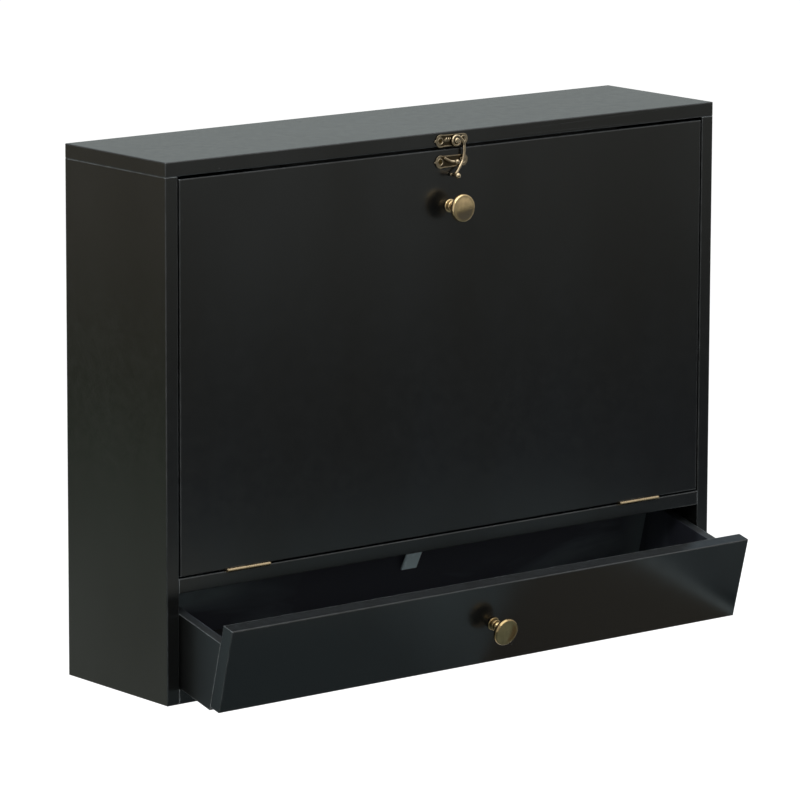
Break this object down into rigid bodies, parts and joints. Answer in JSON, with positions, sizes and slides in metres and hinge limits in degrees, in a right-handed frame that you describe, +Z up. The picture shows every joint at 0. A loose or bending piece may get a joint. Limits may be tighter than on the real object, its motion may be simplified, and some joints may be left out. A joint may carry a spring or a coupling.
{
  "type": "wall-hung drop-front desk",
  "caption": "Shallow wall-hung black desk: drop-front door with a hook latch and folding stays over a tilting full-width drawer.",
  "frame": {"origin": "centre of the four wall fixing holes, in the plane of the wall", "axes": "+X right along the desk's width, +Y into the wall, +Z up"},
  "size_m": [0.6, 0.2227, 0.455],
  "materials": {
    "black_lacquer": "satin black lacquer on fibreboard",
    "black_hardboard": "matt black painted hardboard",
    "beech": "bare beech",
    "antique_brass": "aged brass, rubbed bright on the edges",
    "zinc_steel": "zinc plated",
    "nylon": "plain nylon",
    "soft_rubber": "matt",
    "clear_plastic": "clear and bendy"
  },
  "bodies": {
    "cabinet": {"top_board": "black_lacquer", "left_side": "black_lacquer", "right_side": "black_lacquer", "shelf_board": "black_lacquer", "bottom_board": "black_lacquer", "back_panel": "black_hardboard", "back_panel_pins": "zinc_steel", "upper_hanging_rail": "black_lacquer", "lower_hanging_rail": "black_lacquer", "carcass_dowels": "beech", "door_stop_strip": "black_lacquer", "door_bumpers": "soft_rubber", "left_hinge_shelf_leaf": "antique_brass", "right_hinge_shelf_leaf": "antique_brass", "hinge_pins": "antique_brass", "hinge_shelf_screws": "antique_brass", "latch_upper_plate": "antique_brass", "latch_upper_screws": "antique_brass", "latch_rivet": "antique_brass", "left_stay_wall_plate": "antique_brass", "right_stay_wall_plate": "antique_brass", "stay_wall_rivets": "antique_brass", "stay_plate_screws": "antique_brass", "drawer_stop_tab": "clear_plastic", "stop_tab_screw": "zinc_steel"},
    "door": {"door_panel": "black_lacquer", "door_knob": "antique_brass", "door_knob_screw": "zinc_steel", "left_hinge_door_leaf": "antique_brass", "right_hinge_door_leaf": "antique_brass", "hinge_door_screws": "antique_brass", "latch_lower_plate": "antique_brass", "latch_lower_screws": "antique_brass", "left_stay_door_bracket": "antique_brass", "right_stay_door_bracket": "antique_brass", "stay_bracket_screws": "antique_brass"},
    "hook": {"latch_hook": "antique_brass"},
    "glides": {"glide_pins": "nylon"},
    "drawer": {"drawer_front": "black_lacquer", "drawer_left_side": "black_lacquer", "drawer_right_side": "black_lacquer", "drawer_back": "black_lacquer", "drawer_bottom": "black_hardboard", "drawer_dowels": "beech", "drawer_knob": "antique_brass", "drawer_knob_screw": "zinc_steel"},
    "left_rear_link": {"left_stay_rear_link": "antique_brass", "left_stay_elbow_rivet": "antique_brass"},
    "left_front_link": {"left_stay_front_link": "antique_brass"},
    "right_rear_link": {"right_stay_rear_link": "antique_brass", "right_stay_elbow_rivet": "antique_brass"},
    "right_front_link": {"right_stay_front_link": "antique_brass"}
  },
  "joints": [
    {"name": "door_hinge", "type": "hinge", "parent": "cabinet", "child": "door", "pos_m": [0, -0.1413, -0.16725], "axis": [1, 0, 0], "range_deg": [0, 90]},
    {"name": "hook_pivot", "type": "hinge", "parent": "cabinet", "child": "hook", "pos_m": [0.0045, -0.14235, 0.1725], "axis": [0, -1, 0], "range_deg": [0, 110]},
    {"name": "drawer_tilt", "type": "hinge", "parent": "cabinet", "child": "glides", "pos_m": [0, -0.137, -0.26298], "axis": [1, 0, 0], "range_deg": [-14.38, 0]},
    {"name": "drawer_slide", "type": "slide", "parent": "glides", "child": "drawer", "axis": [0, 0.9687, 0.2484], "range_m": [0, 0.05215]},
    {"name": "left_stay_wall_pivot", "type": "hinge", "parent": "cabinet", "child": "left_rear_link", "pos_m": [-0.28525, -0.0467, -0.12965], "axis": [1, 0, 0], "range_deg": [0, 94.44]},
    {"name": "left_stay_elbow", "type": "hinge", "parent": "left_rear_link", "child": "left_front_link", "pos_m": [-0.28525, -0.03134, -0.02012], "axis": [1, 0, 0], "range_deg": [-104.35, 0]},
    {"name": "right_stay_wall_pivot", "type": "hinge", "parent": "cabinet", "child": "right_rear_link", "pos_m": [0.28525, -0.0467, -0.12965], "axis": [1, 0, 0], "range_deg": [0, 94.44]},
    {"name": "right_stay_elbow", "type": "hinge", "parent": "right_rear_link", "child": "right_front_link", "pos_m": [0.28525, -0.03134, -0.02012], "axis": [1, 0, 0], "range_deg": [-104.35, 0]}
  ],
  "couplings": [
    {"joint": "drawer_tilt", "follows": "drawer_slide", "rad_per_m": -4.8126},
    {"joint": "left_stay_wall_pivot", "follows": "door_hinge", "ratio": 1.0494},
    {"joint": "left_stay_elbow", "follows": "door_hinge", "ratio": -1.1595},
    {"joint": "right_stay_wall_pivot", "follows": "door_hinge", "ratio": 1.0494},
    {"joint": "right_stay_elbow", "follows": "door_hinge", "ratio": -1.1595}
  ]
}
